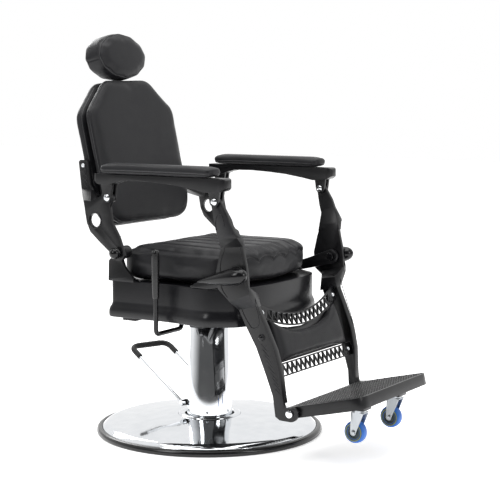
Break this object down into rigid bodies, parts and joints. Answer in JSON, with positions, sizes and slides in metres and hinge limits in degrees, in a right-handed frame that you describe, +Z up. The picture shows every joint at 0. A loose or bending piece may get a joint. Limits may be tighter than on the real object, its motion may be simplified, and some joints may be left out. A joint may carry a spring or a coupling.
{
  "type": "hydraulic barber chair",
  "caption": "Barber chair on a round chromed base with a foot pump, reclining back, linked arms and leg rest, folding footrest on casters and a sliding headrest.",
  "frame": {"origin": "centre of the base's underside, on the floor", "axes": "+Z up, the sitter faces -Y, +X is the sitter's left"},
  "size_m": [0.7, 1.0585, 1.2292],
  "materials": {
    "chrome": "polished",
    "bare_steel": "satin",
    "black_casting": "satin",
    "black_vinyl": "satin",
    "black_box": "satin",
    "black_rubber": "matte",
    "zinc": "satin",
    "wheel_nylon": "matte",
    "blue_tread": "satin"
  },
  "bodies": {
    "root": {"base_plate": "bare_steel", "base_rim": "black_rubber", "base_dome": "chrome", "column_collar": "chrome", "column_cover": "chrome", "pump_cylinder": "bare_steel", "pedal_bush_left": "black_rubber", "pedal_bush_right": "black_rubber"},
    "pedal": {"pedal_frame": "chrome", "pedal_sleeve": "black_rubber"},
    "lift": {"ram": "chrome", "swivel_bearing": "bare_steel"},
    "seat": {"seat_frame": "bare_steel", "seat_box": "black_box", "seat_cushion": "black_vinyl", "lever_bearing": "black_casting", "rear_ear_left": "black_casting", "rear_ear_right": "black_casting", "front_ear_left": "black_casting", "front_ear_right": "black_casting", "rear_pivot_left": "black_casting", "rear_pivot_right": "black_casting", "front_pivot_left": "black_casting", "front_pivot_right": "black_casting"},
    "lever": {"lever_rod": "black_casting", "lever_grip": "black_rubber"},
    "back": {"back_shell": "black_vinyl", "back_cushion": "black_vinyl", "headrest_socket": "black_casting", "back_bracket_left": "black_casting", "back_bracket_right": "black_casting"},
    "headrest": {"headrest_pad": "black_vinyl", "headrest_post": "chrome"},
    "arm_left": {"arm_frame_left": "black_casting", "arm_pad_left": "black_vinyl", "arm_rear_bolt_left": "chrome", "arm_front_bolt_left": "chrome"},
    "arm_right": {"arm_frame_right": "black_casting", "arm_pad_right": "black_vinyl", "arm_rear_bolt_right": "chrome", "arm_front_bolt_right": "chrome"},
    "legrest": {"leg_casting_left": "black_casting", "leg_casting_right": "black_casting", "filigree_top": "black_casting", "filigree_bottom": "black_casting", "calf_pad": "black_vinyl", "calf_board": "black_box", "footrest_bolt_left": "chrome", "footrest_bolt_right": "chrome"},
    "footrest": {"footrest_plate": "black_casting"},
    "caster_left": {"caster_fork_left": "zinc", "caster_axle_left": "zinc"},
    "caster_right": {"caster_fork_right": "zinc", "caster_axle_right": "zinc"},
    "wheel_left": {"caster_hub_left": "wheel_nylon", "caster_tyre_left": "blue_tread"},
    "wheel_right": {"caster_hub_right": "wheel_nylon", "caster_tyre_right": "blue_tread"}
  },
  "joints": [
    {"name": "pedal_press", "type": "hinge", "parent": "root", "child": "pedal", "pos_m": [0.0165, 0.04401, 0.085], "axis": [0.9364, -0.351, 0], "range_deg": [-18, 0], "stiffness_Nm_per_rad": 40, "springref_deg": 8.59},
    {"name": "seat_lift", "type": "slide", "parent": "root", "child": "lift", "axis": [0, 0, 1], "range_m": [0, 0.15]},
    {"name": "seat_swivel", "type": "hinge", "parent": "lift", "child": "seat", "pos_m": [0, 0, 0.366], "axis": [0, 0, 1], "continuous": true},
    {"name": "recline", "type": "hinge", "parent": "seat", "child": "back", "pos_m": [0, 0.116, 0.577], "axis": [-1, 0, 0], "range_deg": [0, 45]},
    {"name": "legrest_swing", "type": "hinge", "parent": "seat", "child": "legrest", "pos_m": [0, -0.285, 0.535], "axis": [-1, 0, 0], "range_deg": [0, 35]},
    {"name": "headrest_height", "type": "slide", "parent": "back", "child": "headrest", "axis": [0, 0.225, 0.9744], "range_m": [0, 0.08]},
    {"name": "lever_pull", "type": "hinge", "parent": "seat", "child": "lever", "pos_m": [-0.08, -0.004, 0.392], "axis": [-1, 0, 0], "range_deg": [0, 12], "stiffness_Nm_per_rad": 6, "springref_deg": -11.46},
    {"name": "footrest_fold", "type": "hinge", "parent": "legrest", "child": "footrest", "pos_m": [0, -0.425, 0.145], "axis": [-1, 0, 0], "range_deg": [0, 65]},
    {"name": "arm_level_left", "type": "hinge", "parent": "back", "child": "arm_left", "pos_m": [0.3, 0.15, 0.739], "axis": [-1, 0, 0], "range_deg": [-46, 0.5]},
    {"name": "arm_level_right", "type": "hinge", "parent": "back", "child": "arm_right", "pos_m": [-0.3, 0.15, 0.739], "axis": [-1, 0, 0], "range_deg": [-46, 0.5]},
    {"name": "caster_swivel_left", "type": "hinge", "parent": "footrest", "child": "caster_left", "pos_m": [0.111, -0.588, 0.157], "axis": [0, 0, 1], "continuous": true},
    {"name": "wheel_spin_left", "type": "hinge", "parent": "caster_left", "child": "wheel_left", "pos_m": [0.111, -0.575, 0.091], "axis": [1, 0, 0], "continuous": true},
    {"name": "caster_swivel_right", "type": "hinge", "parent": "footrest", "child": "caster_right", "pos_m": [-0.111, -0.588, 0.157], "axis": [0, 0, 1], "continuous": true},
    {"name": "wheel_spin_right", "type": "hinge", "parent": "caster_right", "child": "wheel_right", "pos_m": [-0.111, -0.575, 0.091], "axis": [1, 0, 0], "continuous": true}
  ],
  "couplings": [
    {"joint": "legrest_swing", "follows": "recline", "ratio": 0.7496},
    {"joint": "arm_level_left", "follows": "recline", "ratio": -0.9891},
    {"joint": "arm_level_right", "follows": "recline", "ratio": -0.9891}
  ]
}
